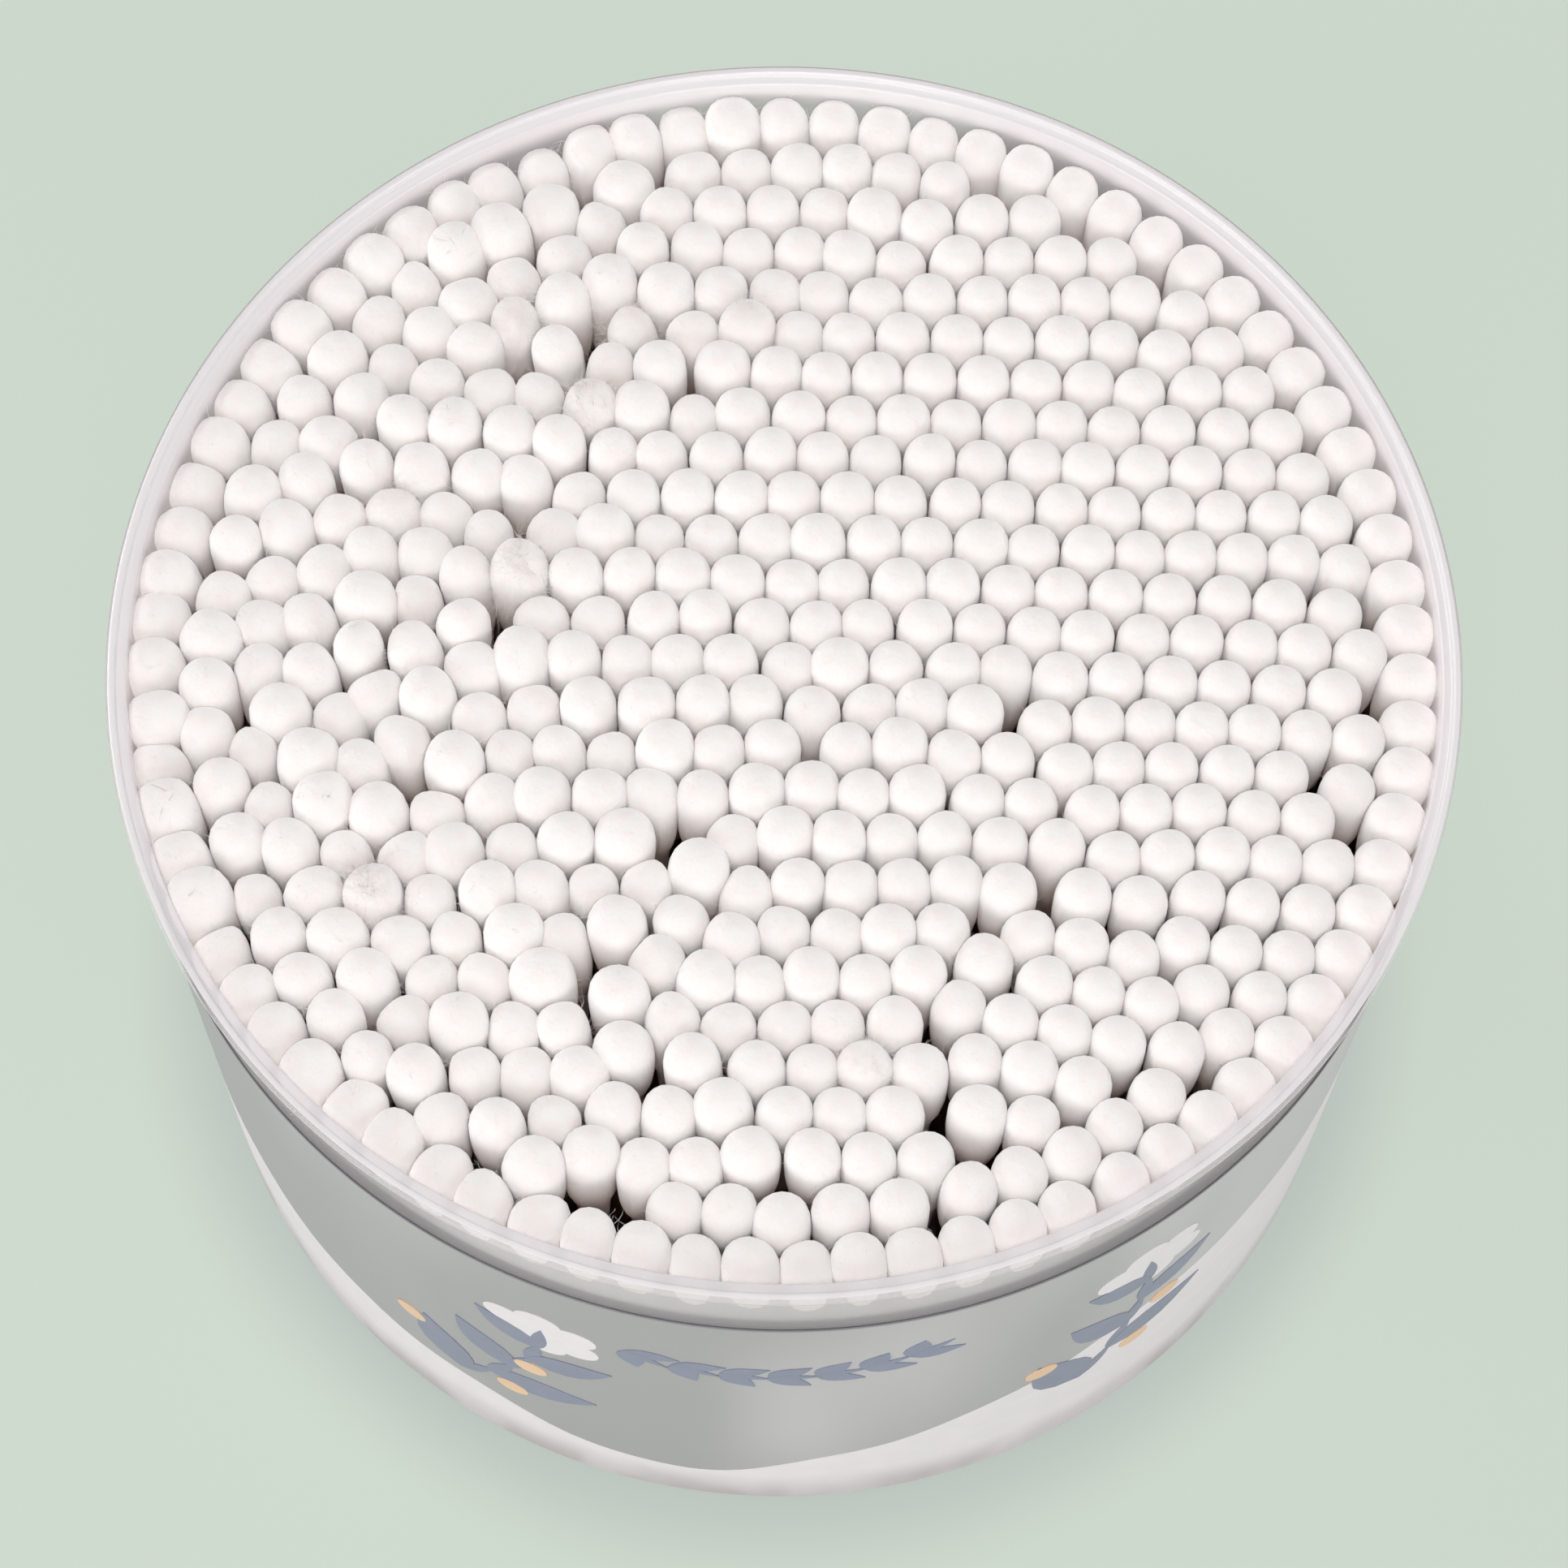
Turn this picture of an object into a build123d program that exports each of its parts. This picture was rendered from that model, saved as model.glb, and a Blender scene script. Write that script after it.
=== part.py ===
from build123d import *

import math
import os

import numpy as np

# A round tub of clear plastic, open at the top, with a printed film round its wall
# and cotton swabs packed on end inside.
# The origin is the middle of the foot, +Z is up and the front is towards -Y.

# Tub
RIM_DIAMETER = 125.0
TUB_HEIGHT = 79.5
RIM_OVERHANG = 1.0
WALL_TAPER = 2.0
TOP_WALL_DIAMETER = RIM_DIAMETER - 2 * RIM_OVERHANG
BASE_DIAMETER = TOP_WALL_DIAMETER - 2 * WALL_TAPER
WALL = 0.9
FLOOR = 1.2
FOOT_LIFT = 0.8
FOOT_WIDTH = 2.6
BASE_CORNER = 3.0
RIM_THICKNESS = 1.3
RIM_LEDGE_DROP = 0.5
RIM_BEAD_WIDTH = 0.9
RIM_CHAMFER = 0.2

# Label film
FILM_THICKNESS = 0.12
FILM_GLUE_LINE = 0.06
FILM_BELOW_RIM = 12.5
FILM_ABOVE_FOOT = 3.6
FILM_SEAM_GAP = 0.6
HILL_THICKNESS = 0.05
HILL_GAP = 0.06
# The print's three rolling hills. For each, the turn of its peak from the front towards the right,
# in degrees, its height at the tub's axis and its rise to the wall, as shares of the film's height.
HILL_SHARES = [
    (64.0, -0.15, 0.72),
    (-82.0, 0.02, 0.34),
    (178.0, -0.08, 0.52),
]

# Swabs
SWAB_LENGTH = 75.0
BUD_DIAMETER = 4.75
BUD_LENGTH = 14.0
DOME_HEIGHT = 1.5
STICK_DIAMETER = 2.3
BUD_SIDES = 6
STICK_SIDES = 3

# Packing of the swabs
HEAD_SPACING = 4.83
RING_SPACING = 4.9
LATTICE_SPACING = 5.09
WALL_CLEARANCE = 0.12
FOOT_CLEARANCE = 0.3
FLOOR_CLEARANCE = 0.1
NEAT_LEAN = 0.25
LOOSE_LEAN = 0.9
NEAT_LIFT = 0.5
LOOSE_LIFT = 2.0
SHUFFLE = 2.6
GAP_DIAMETER = 2.6
SPREAD_SPACING = 5.15
SPREAD_STEPS = 200
SETTLE_STEPS = 400
SETTLE_SHARE = 0.45
FIRST_ROW_SHARE = 0.88
EDGE_FILL_SHARE = 0.25
ROW_BEND_SHARE = 0.06
ROW_NODES = 25
LAYOUT_SEED = 7
# Where the small dark gaps between the heads lie, as shares of the rim's radius.
GAP_SHARES = [
    (0.39, -0.33),
    (0.30, -0.40),
    (-0.17, -0.30),
    (0.24, -0.71),
    (0.01, -0.80),
    (-0.27, -0.83),
    (-0.18, -0.65),
    (-0.28, -0.51),
    (-0.40, 0.24),
    (0.04, -0.14),
    (0.34, -0.05),
    (0.24, -0.58),
    (-0.15, 0.47),
    (-0.55, -0.21),
]

rim_radius = RIM_DIAMETER / 2
top_wall_radius = TOP_WALL_DIAMETER / 2
base_radius = BASE_DIAMETER / 2
flange_height = TUB_HEIGHT - RIM_THICKNESS
wall_rise = flange_height - BASE_CORNER
wall_flare = (top_wall_radius - base_radius) / wall_rise
floor_top = FOOT_LIFT + FLOOR
film_low = FILM_ABOVE_FOOT
film_high = TUB_HEIGHT - FILM_BELOW_RIM


def wall_radius(height):
    """Outer radius of the tub's leaning wall at a height over the foot."""
    return base_radius + wall_flare * (height - BASE_CORNER)


def corner_at(outline, point):
    """The outline's corner nearest to a point given as a radius and a height."""
    return outline.vertices().sort_by_distance(Vector(point[0], 0, point[1]))[0]


def tub():
    """The tub: a dish with a ring foot, a leaning wall and a stepped rim with an outer bead."""
    foot_inner = base_radius - BASE_CORNER - FOOT_WIDTH
    ledge_height = TUB_HEIGHT - RIM_LEDGE_DROP
    foot_edge = (wall_radius(0), 0)
    floor_edge = (wall_radius(floor_top) - WALL, floor_top)
    flange_edge = (rim_radius, flange_height)
    bead_outer = (rim_radius, TUB_HEIGHT)
    bead_inner = (rim_radius - RIM_BEAD_WIDTH, TUB_HEIGHT)
    ledge_inner = (wall_radius(ledge_height) - WALL, ledge_height)
    outline = make_face(
        Plane.XZ
        * Polyline(
            (0, FOOT_LIFT),
            (foot_inner, FOOT_LIFT),
            (foot_inner + FOOT_LIFT, 0),
            foot_edge,
            (wall_radius(flange_height), flange_height),
            flange_edge,
            bead_outer,
            bead_inner,
            (rim_radius - RIM_BEAD_WIDTH, ledge_height),
            ledge_inner,
            floor_edge,
            (0, floor_top),
            close=True,
        )
    )
    outline = fillet(corner_at(outline, foot_edge), BASE_CORNER)
    outline = fillet(corner_at(outline, floor_edge), BASE_CORNER - WALL)
    for edge in (flange_edge, bead_outer, bead_inner, ledge_inner):
        outline = chamfer(corner_at(outline, edge), RIM_CHAMFER)
    return revolve(outline, Axis.Z)


def sleeve(proud, thickness):
    """A thin sleeve round the leaning wall, standing proud of it, with its seam at the back."""
    low_radius = wall_radius(film_low) + proud
    high_radius = wall_radius(film_high) + proud
    outline = make_face(
        Plane.XZ
        * Polyline(
            (low_radius, film_low),
            (low_radius + thickness, film_low),
            (high_radius + thickness, film_high),
            (high_radius, film_high),
            close=True,
        )
    )
    seam_turn = math.degrees(FILM_SEAM_GAP / base_radius)
    return revolve(outline, Axis.Z, 360 - seam_turn).rotate(Axis.Z, 90 + seam_turn / 2)


def label_film():
    """The printed film round the wall."""
    return sleeve(FILM_GLUE_LINE, FILM_THICKNESS)


def label_hills():
    """The pale hills printed on the film: a sleeve less the sky, which lies over three tilted planes."""
    film_height = film_high - film_low
    sky = Pos(0, 0, film_high) * Box(2 * RIM_DIAMETER, 2 * RIM_DIAMETER, 4 * film_height)
    for peak_turn, level_share, rise_share in HILL_SHARES:
        turn = math.radians(peak_turn)
        slope = rise_share * film_height / base_radius
        skyward = Vector(-slope * math.sin(turn), slope * math.cos(turn), 1)
        ground = Plane(origin=(0, 0, film_low + level_share * film_height), z_dir=skyward)
        sky = split(sky, bisect_by=ground, keep=Keep.TOP)
    return sleeve(FILM_GLUE_LINE + FILM_THICKNESS + HILL_GAP, HILL_THICKNESS) - sky


def ring(radius, height, count):
    """Corners of a level regular polygon round the swab's axis."""
    angles = np.arange(count) * 2 * math.pi / count
    return [Vector(radius * math.cos(a), radius * math.sin(a), height) for a in angles]


def belt(low, high):
    """Facets that join two rings of corners, stepping round both in turn."""
    facets = []
    i = j = 0
    while i < len(low) or j < len(high):
        low_next = low[(i + 1) % len(low)]
        high_next = high[(j + 1) % len(high)]
        low_here = low[i % len(low)]
        high_here = high[j % len(high)]
        if (i + 1) * len(high) <= (j + 1) * len(low) and i < len(low):
            facets.append((low_here, low_next, high_here))
            i += 1
        else:
            facets.append((low_here, high_next, high_here))
            j += 1
    return facets


def cap(corners, tip):
    """Facets from a ring of corners to one tip."""
    return [(corners[i - 1], corners[i], tip) for i in range(len(corners))]


def bud(tip_height, inwards):
    """The facets of one cotton bud, domed at its tip and tapered to the stick, and the stick's ring."""
    widest = ring(BUD_DIAMETER / 2, tip_height + inwards * DOME_HEIGHT, BUD_SIDES)
    neck = ring(STICK_DIAMETER / 2, tip_height + inwards * BUD_LENGTH, STICK_SIDES)
    return cap(widest, Vector(0, 0, tip_height)) + belt(neck, widest), neck


def swab(with_lower_bud):
    """A swab on end at the origin: a stick with a six-sided bud on top, or on both ends."""
    facets, stick_top = bud(SWAB_LENGTH, -1)
    if with_lower_bud:
        lower_facets, stick_foot = bud(0, 1)
        facets += lower_facets
    else:
        stick_foot = ring(STICK_DIAMETER / 2, 0, STICK_SIDES)
        facets.append(stick_foot)
    facets += [
        (stick_foot[i - 1], stick_foot[i], stick_top[i], stick_top[i - 1]) for i in range(STICK_SIDES)
    ]
    return Solid(Shell([Face(Wire.make_polygon(corners)) for corners in facets]))


def disorder(places):
    """How loosely the swabs stand, from 0 at the right wall to 1 at the left wall."""
    return np.clip(0.5 - places[:, 0] / rim_radius, 0, 1)


def held_within(places, reach):
    """The places, with those beyond reach drawn back onto the circle of that radius."""
    out = np.hypot(places[:, 0], places[:, 1])
    return places * (reach / np.maximum(out, reach))[:, None]


def settle(places, reach):
    """Spread the heads into the room they have, then push apart any that overlap or cover a gap."""
    gaps = np.array(GAP_SHARES) * rim_radius
    for step in range(SPREAD_STEPS + SETTLE_STEPS):
        spacing = SPREAD_SPACING if step < SPREAD_STEPS else HEAD_SPACING
        apart = places[:, None] - places[None]
        distance = np.hypot(apart[..., 0], apart[..., 1]) + np.eye(len(places)) * RIM_DIAMETER
        short = np.clip(spacing / distance - 1, 0, 1)
        move = (apart * short[..., None]).sum(axis=1)
        from_gap = places[:, None] - gaps[None]
        gap_distance = np.hypot(from_gap[..., 0], from_gap[..., 1])
        gap_short = np.clip((BUD_DIAMETER + GAP_DIAMETER) / 2 / gap_distance - 1, 0, 1)
        move += (from_gap * gap_short[..., None]).sum(axis=1)
        places = places + SETTLE_SHARE * move
        places = held_within(places, reach)
    return places


def inner_reach(reach):
    """How far from the middle the heads lie that stand inside the wall's own ring of heads."""
    return reach - FIRST_ROW_SHARE * RING_SPACING


def head_places(reach):
    """Centres of the heads: a ring along the wall, then close rows, shuffled towards the left."""
    ring_count = int(2 * math.pi * reach / RING_SPACING)
    turns = np.arange(ring_count) * 2 * math.pi / ring_count
    wall_ring = reach * np.column_stack([np.cos(turns), np.sin(turns)])
    rise = LATTICE_SPACING * math.sqrt(3) / 2
    rows = int(reach / rise) + 1
    columns = int(reach / LATTICE_SPACING) + 1
    lattice = [
        ((i + j % 2 / 2) * LATTICE_SPACING, j * rise)
        for j in range(-rows, rows + 1)
        for i in range(-columns, columns + 1)
    ]
    inner = np.array(lattice)
    inner[:, 1] -= ROW_BEND_SHARE * inner[:, 0] ** 2 / rim_radius
    out = np.hypot(inner[:, 0], inner[:, 1])
    edge = inner_reach(reach)
    inner = held_within(inner[out < edge + EDGE_FILL_SHARE * LATTICE_SPACING], edge)
    shuffle = np.random.default_rng(LAYOUT_SEED).normal(size=inner.shape)
    inner = inner + shuffle * (disorder(inner) ** 2)[:, None] * SHUFFLE
    return settle(np.vstack([wall_ring, inner]), reach), ring_count


def swab_rows():
    """All the swabs, leaned out with the wall, as solids keyed by the node that holds them."""
    reach = wall_radius(SWAB_LENGTH) - WALL - WALL_CLEARANCE - BUD_DIAMETER / 2
    foot_reach = base_radius - WALL - FOOT_CLEARANCE - BUD_DIAMETER / 2
    tips, ring_count = head_places(reach)
    out = np.hypot(tips[:, 0], tips[:, 1])
    chance = np.random.default_rng(LAYOUT_SEED + 1)
    loose = disorder(tips)
    lift = chance.uniform(size=len(tips)) * (NEAT_LIFT + (LOOSE_LIFT - NEAT_LIFT) * loose)
    room = np.clip((reach - out) / RING_SPACING - 1, 0, 1)
    sway_most = room * (NEAT_LEAN + (LOOSE_LEAN - NEAT_LEAN) * loose)
    sway = chance.uniform(-1, 1, size=tips.shape) * sway_most[:, None]
    feet = tips * foot_reach / reach + sway
    edge = inner_reach(reach)
    row_pitch = 2 * edge / ROW_NODES
    plain, double = swab(False), swab(True)
    rows = {}
    for index, (tip, foot) in enumerate(zip(tips, feet)):
        on_ring = index < ring_count
        base = Vector(*foot, floor_top + FLOOR_CLEARANCE + lift[index])
        axis = Vector(*tip, SWAB_LENGTH) - Vector(*foot, 0)
        turn = chance.uniform(0, 360) * loose[index]
        place = Plane(origin=base, x_dir=(1, 0, 0), z_dir=axis).location * Rotation(0, 0, turn)
        row = min(max(math.ceil((tip[1] + edge) / row_pitch), 1), ROW_NODES)
        name = "swabs_wall_ring" if on_ring else f"swabs_row_{row:02d}"
        rows.setdefault(name, []).append((double if on_ring else plain).moved(place))
    return rows


def main():
    """Write one file for each separate piece and each row of swabs from front to back."""
    os.makedirs("parts", exist_ok=True)
    export_step(tub(), "parts/tub.step")
    export_step(label_film(), "parts/label_film.step")
    export_step(label_hills(), "parts/label_hills.step")
    total = 0
    for name, solids in swab_rows().items():
        export_step(Compound(solids), f"parts/{name}.step")
        total += len(solids)
    print("swabs:", total)


main()
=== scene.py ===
"""The looks of an open plastic tub packed with cotton swabs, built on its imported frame.

Lengths are in millimetres and angles in degrees until a mesh, a light or the camera is made.
The tub stands on its foot at the origin, +Z is up and the front is towards -Y.
"""

import logging
import math
from dataclasses import dataclass, field
from enum import Enum

import bpy
import numpy as np
from mathutils import Matrix, Vector

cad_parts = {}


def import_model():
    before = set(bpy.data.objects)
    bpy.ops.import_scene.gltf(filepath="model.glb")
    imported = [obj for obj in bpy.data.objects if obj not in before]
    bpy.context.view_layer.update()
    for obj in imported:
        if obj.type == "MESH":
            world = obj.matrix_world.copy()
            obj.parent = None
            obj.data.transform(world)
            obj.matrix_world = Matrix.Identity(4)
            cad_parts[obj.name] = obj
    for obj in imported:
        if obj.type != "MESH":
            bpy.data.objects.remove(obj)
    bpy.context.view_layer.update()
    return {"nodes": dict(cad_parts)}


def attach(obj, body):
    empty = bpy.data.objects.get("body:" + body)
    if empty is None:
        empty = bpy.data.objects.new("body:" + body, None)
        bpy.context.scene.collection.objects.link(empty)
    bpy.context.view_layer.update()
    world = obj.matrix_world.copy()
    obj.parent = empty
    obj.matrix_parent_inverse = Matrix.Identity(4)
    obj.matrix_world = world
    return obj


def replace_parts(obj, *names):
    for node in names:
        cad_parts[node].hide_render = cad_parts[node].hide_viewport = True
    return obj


LOG = logging.getLogger("swab_tub")
MILLIMETRE = 0.001
BODY = "root"
SMOOTH_ANGLE = 40.0
# The name of the points' attribute for how deep under its head's tip each lies, in millimetres, by
# which the cotton's painted shade is laid.
DEPTH = "depth"


class Slot(Enum):
    """The record's material slots."""

    PLASTIC = "clear_plastic"
    FILM = "label_film"
    HILLS = "hill_print"
    COTTON = "cotton"


@dataclass(frozen=True)
class Colour:
    """A colour as it is seen, each channel from 0 to 255."""

    red: float
    green: float
    blue: float

    def linear(self) -> tuple[float, float, float, float]:
        """The colour as light, from 0 to 1, with full opacity.

        Returns:
            Red, green, blue and alpha.
        """
        seen = np.array([self.red, self.green, self.blue]) / 255
        light = np.where(seen <= 0.04045, seen / 12.92, ((seen + 0.055) / 1.055) ** 2.4)
        return (float(light[0]), float(light[1]), float(light[2]), 1.0)


class NodeSheet:
    """A new material with one Principled shader, to which pattern nodes are added."""

    def __init__(self, name: str) -> None:
        """Start the material.

        Args:
            name: The material's name.
        """
        self.material = bpy.data.materials.new(name)
        self.material.use_nodes = True
        self.nodes = self.material.node_tree.nodes
        self.links = self.material.node_tree.links
        self.shader = self.nodes["Principled BSDF"]

    def set(self, **values: object) -> None:
        """Set sockets of the shader, named with underscores for spaces."""
        for name, value in values.items():
            self.shader.inputs[name.replace("_", " ")].default_value = value

    def add(
        self, kind: str, inputs: dict[int | str, object] | None = None, **settings: object
    ) -> bpy.types.Node:
        """Add a node, and give each of its inputs a value or a link.

        Args:
            kind: The node's type.
            inputs: A value or an output socket for each input.
            settings: The node's own settings.

        Returns:
            The new node.
        """
        node = self.nodes.new(kind)
        for name, value in settings.items():
            setattr(node, name, value)
        for key, value in (inputs or {}).items():
            if isinstance(value, bpy.types.NodeSocket):
                self.links.new(value, node.inputs[key])
            else:
                node.inputs[key].default_value = value
        return node

    def math(
        self, operation: str, first: object, second: object = 0.0, third: object = 0.0
    ) -> bpy.types.NodeSocket:
        """Add a Math node that works out an operation on up to three numbers or sockets."""
        node = self.add("ShaderNodeMath", {0: first, 1: second, 2: third}, operation=operation)
        return node.outputs[0]

    def step(self, value: object, low: float, high: float) -> bpy.types.NodeSocket:
        """Rise smoothly from 0 to 1 as a value goes from low to high.

        Args:
            value: The number or socket to read.
            low: Where the result is 0.
            high: Where the result is 1.

        Returns:
            The result's socket.
        """
        inputs = {"Value": value, "From Min": low, "From Max": high}
        node = self.add("ShaderNodeMapRange", inputs, interpolation_type="SMOOTHSTEP")
        return node.outputs["Result"]

    def blend(self, share: object, first: object, second: object) -> bpy.types.NodeSocket:
        """Mix two colours or their sockets, with a share of the second."""
        inputs = {0: share, 6: first, 7: second}
        return self.add("ShaderNodeMix", inputs, data_type="RGBA").outputs[2]

    def place(self) -> bpy.types.NodeSocket:
        """The point of the surface in the piece's own space."""
        return self.add("ShaderNodeTexCoord").outputs["Object"]

    def height(self, place: bpy.types.NodeSocket) -> bpy.types.NodeSocket:
        """The height of a point over the foot."""
        return self.add("ShaderNodeSeparateXYZ", {0: place}).outputs["Z"]

    def noise(
        self, place: object, scale: float, detail: float = 2.0, upright: float = 1.0
    ) -> bpy.types.NodeSocket:
        """Add a cloudy pattern from 0 to 1.

        Args:
            place: The socket of the point to read it at.
            scale: Clouds in a metre.
            detail: How many finer layers it has.
            upright: How close the clouds are upwards, as a share of how close they are sideways.

        Returns:
            The pattern's socket.
        """
        moved = self.add("ShaderNodeMapping", {"Vector": place, "Scale": (1, 1, upright)})
        inputs = {"Vector": moved.outputs[0], "Scale": scale, "Detail": detail}
        return self.add("ShaderNodeTexNoise", inputs).outputs["Fac"]

    def bump(
        self, height: object, strength: float, depth: float, base: object = None
    ) -> bpy.types.NodeSocket:
        """Add relief to the surface.

        Args:
            height: The pattern that gives the relief.
            strength: How much of it shows, from 0 to 1.
            depth: Its depth in millimetres.
            base: The socket of relief that it is laid on.

        Returns:
            The normal's socket.
        """
        inputs = {"Height": height, "Strength": strength, "Distance": depth * MILLIMETRE}
        if base is not None:
            inputs["Normal"] = base
        return self.add("ShaderNodeBump", inputs).outputs["Normal"]

    def colour(self, socket: bpy.types.NodeSocket) -> None:
        """Send a colour to the shader."""
        self.links.new(socket, self.shader.inputs["Base Color"])

    def relief(self, socket: bpy.types.NodeSocket) -> None:
        """Send a normal to the shader."""
        self.links.new(socket, self.shader.inputs["Normal"])

    def print_gloss(self) -> None:
        """Give the shader the gloss of printed film."""
        self.set(Roughness=0.4, Specular_IOR_Level=0.35, Coat_Weight=0.12, Coat_Roughness=0.2)


@dataclass(frozen=True)
class CottonFinish:
    """Bleached cotton with a soft nap, and a painted warm shade that darkens it deep down between
    the heads.
    """

    body: Colour = Colour(252, 249, 247)
    warm: Colour = Colour(252, 246, 244)
    # The painted shade between the heads: its colour, and the depths under the tip over which it is
    # laid.
    deep: Colour = Colour(222, 182, 162)
    painted_shade_from: float = 2.2
    painted_shade_to: float = 14.0
    wisps_per_metre: float = 700.0
    wisp_upright: float = 0.35
    wisp_range: tuple[float, float] = (0.35, 0.75)
    wisp_strength: float = 0.6
    wisp_depth: float = 0.35
    nap_per_metre: float = 2600.0
    nap_upright: float = 0.5
    nap_strength: float = 0.5
    nap_depth: float = 0.16

    def material(self) -> bpy.types.Material:
        """Make the material.

        Returns:
            The cotton's material.
        """
        sheet = NodeSheet("cotton")
        place = sheet.place()
        wisps = sheet.noise(place, self.wisps_per_metre, 3.0, self.wisp_upright)
        nap = sheet.noise(place, self.nap_per_metre, 4.0, self.nap_upright)
        tint = sheet.step(wisps, *self.wisp_range)
        outside = sheet.blend(tint, self.body.linear(), self.warm.linear())
        # Painted shade: the colour darkens towards the deep colour with depth under the tip, where
        # the heads shade each other.
        depth = sheet.add("ShaderNodeAttribute", attribute_name=DEPTH).outputs["Fac"]
        shade = sheet.step(depth, self.painted_shade_from, self.painted_shade_to)
        sheet.colour(sheet.blend(shade, outside, self.deep.linear()))
        low = sheet.bump(wisps, self.wisp_strength, self.wisp_depth)
        sheet.relief(sheet.bump(nap, self.nap_strength, self.nap_depth, low))
        sheet.set(Roughness=0.95, Specular_IOR_Level=0.1, Diffuse_Roughness=1.0)
        sheet.set(Sheen_Weight=0.6, Sheen_Roughness=0.5)
        return sheet.material


@dataclass(frozen=True)
class StickFinish:
    """Brown rolled paper with a faint grain along it."""

    dark: Colour = Colour(178, 128, 92)
    light: Colour = Colour(214, 168, 130)
    grain_per_metre: float = 900.0
    grain_upright: float = 0.15
    grain_depth: float = 0.05

    def material(self) -> bpy.types.Material:
        """Make the material.

        Returns:
            The stick's material.
        """
        sheet = NodeSheet("paper_stick")
        grain = sheet.noise(sheet.place(), self.grain_per_metre, 3.0, self.grain_upright)
        sheet.colour(sheet.blend(grain, self.dark.linear(), self.light.linear()))
        sheet.relief(sheet.bump(grain, 0.4, self.grain_depth))
        sheet.set(Roughness=0.7)
        return sheet.material


@dataclass(frozen=True)
class PlasticFinish:
    """Moulded plastic, clear outside and milky inside, where it grows whiter towards the rim."""

    body: Colour = Colour(248, 242, 245)
    outer_opacity: float = 0.2
    lip_opacity: float = 0.14
    inner_opacity: float = 0.42
    rim_opacity: float = 0.82
    edge_opacity: float = 0.9
    whitening: float = 3.0
    edge_blend: float = 0.2
    ripple_per_metre: float = 45.0
    ripple_upright: float = 0.4
    ripple_depth: float = 0.25
    scuff_per_metre: float = 900.0
    smoothest: float = 0.07
    roughest: float = 0.15

    def material(
        self, name: str, low: float, high: float, rise: tuple[float, float]
    ) -> bpy.types.Material:
        """Make the material of one skin.

        Args:
            name: The material's name.
            low: How much of the light it stops on the wall, where it is seen square on.
            high: How much it stops at the rim.
            rise: The heights between which it grows from the one to the other.

        Returns:
            The skin's material.
        """
        sheet = NodeSheet(name)
        place = sheet.place()
        ripple = sheet.noise(place, self.ripple_per_metre, 2.0, self.ripple_upright)
        sheet.relief(sheet.bump(ripple, 0.5, self.ripple_depth))
        scuffs = sheet.noise(place, self.scuff_per_metre, 5.0)
        inputs = {"Value": scuffs, "To Min": self.smoothest, "To Max": self.roughest}
        rough = sheet.add("ShaderNodeMapRange", inputs)
        sheet.links.new(rough.outputs["Result"], sheet.shader.inputs["Roughness"])
        share = sheet.step(sheet.height(place), rise[0] * MILLIMETRE, rise[1] * MILLIMETRE)
        square = sheet.math("MULTIPLY_ADD", share, high - low, low)
        facing = sheet.add("ShaderNodeLayerWeight", {"Blend": self.edge_blend}).outputs["Fresnel"]
        inputs = {"Value": facing, "To Min": square, "To Max": self.edge_opacity}
        veil = sheet.add("ShaderNodeMapRange", inputs)
        sheet.links.new(veil.outputs["Result"], sheet.shader.inputs["Alpha"])
        sheet.set(Base_Color=self.body.linear(), IOR=1.5, Specular_IOR_Level=0.5)
        return sheet.material

    def skins(self, flange: float, top: float) -> list[bpy.types.Material]:
        """Make both skins.

        Args:
            flange: Height of the rim's underside.
            top: Height of the rim.

        Returns:
            The outer skin's material and the inner one's.
        """
        outer = self.material("clear_plastic", self.outer_opacity, self.lip_opacity, (flange, top))
        rise = (flange - self.whitening, flange)
        return [outer, self.material("milky_plastic", self.inner_opacity, self.rim_opacity, rise)]


@dataclass(frozen=True)
class FilmFinish:
    """Printed glossy film: a grey field with painted streaks of reflection, and a painted shadow
    line along its top edge.
    """

    field_colour: Colour = Colour(158, 155, 157)
    # A painted reflection: lighter streaks where the glossy film would mirror the lamps.
    painted_reflection: Colour = Colour(192, 188, 191)
    # A painted shadow: a dark line along the film's top edge, where the gap at the wall falls in
    # shade.
    edge: Colour = Colour(128, 126, 134)
    shadow_line_width: float = 0.4
    shadow_line_softness: float = 0.1
    reflection_streaks_per_metre: float = 26.0
    reflection_streak_upright: float = 0.3
    reflection_streak_range: tuple[float, float] = (0.4, 0.7)
    wrinkles_per_metre: float = 78.0
    wrinkle_upright: float = 0.25
    wrinkle_depth: float = 0.4

    def material(self, top: float) -> bpy.types.Material:
        """Make the material.

        Args:
            top: Height of the film's upper edge.

        Returns:
            The film's material.
        """
        sheet = NodeSheet("label_film")
        place = sheet.place()
        # Painted reflection: soft lighter streaks blended into the field.
        reflection_streaks = sheet.noise(place, self.reflection_streaks_per_metre, 2.0, self.reflection_streak_upright)
        tint = sheet.step(reflection_streaks, *self.reflection_streak_range)
        base = sheet.blend(tint, self.field_colour.linear(), self.painted_reflection.linear())
        # Painted shadow line along the top edge.
        line = top - self.shadow_line_width
        shadow_line_top = (line + self.shadow_line_softness) * MILLIMETRE
        edge = sheet.step(sheet.height(place), line * MILLIMETRE, shadow_line_top)
        sheet.colour(sheet.blend(edge, base, self.edge.linear()))
        wrinkles = sheet.noise(place, self.wrinkles_per_metre, 2.0, self.wrinkle_upright)
        sheet.relief(sheet.bump(wrinkles, 0.4, self.wrinkle_depth))
        sheet.print_gloss()
        return sheet.material


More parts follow.
